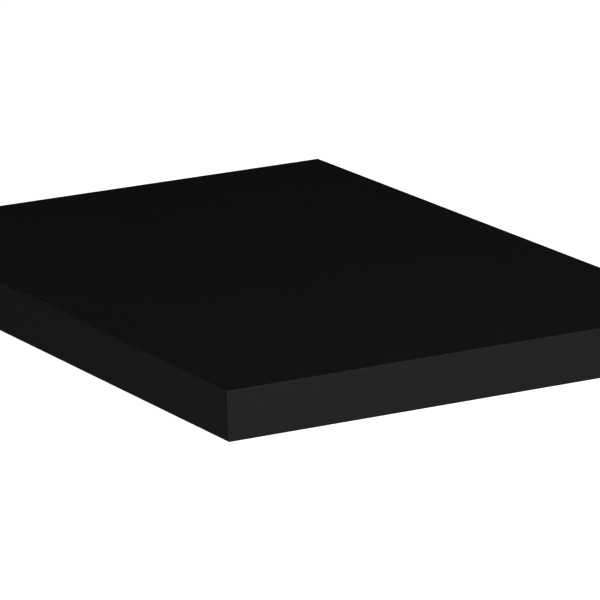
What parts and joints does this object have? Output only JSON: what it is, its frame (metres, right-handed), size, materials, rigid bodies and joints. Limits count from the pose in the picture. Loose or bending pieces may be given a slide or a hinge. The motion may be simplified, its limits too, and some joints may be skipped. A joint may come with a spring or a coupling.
{
  "type": "kick plate",
  "caption": "Thick flat rectangular door kick plate in matte black, square edged and seamless, with foam tape under release liners on its back.",
  "frame": {"origin": "middle of the plate in plan, on the plane of the release liners, which is what the plate rests on when it lies face up", "axes": "+Z out of the face, towards whoever looks at the door; +Y along the width, to the plate's left side as seen from the front; +X up the door, along the height"},
  "size_m": [0.2032, 0.3048, 0.0192],
  "materials": {
    "core_board": "raw medium-density fibreboard, milled",
    "face_laminate": "dead matte black laminate, no pattern",
    "backing_laminate": "plain black balancing laminate, lightly sanded",
    "edge_band": "matte black plastic edge banding, fine grained",
    "foam_tape": "closed-cell acrylic foam tape, dark grey",
    "release_liner": "thin satin polyethylene film"
  },
  "bodies": {
    "root": {"core_board": "core_board", "face_laminate": "face_laminate", "backing_laminate": "backing_laminate", "edge_band_top": "edge_band", "edge_band_bottom": "edge_band", "edge_band_left": "edge_band", "edge_band_right": "edge_band", "tape_top": "foam_tape", "tape_bottom": "foam_tape", "tape_left": "foam_tape", "tape_right": "foam_tape", "tape_middle": "foam_tape", "liner_top": "release_liner", "liner_bottom": "release_liner", "liner_left": "release_liner", "liner_right": "release_liner", "liner_middle": "release_liner"}
  },
  "joints": []
}
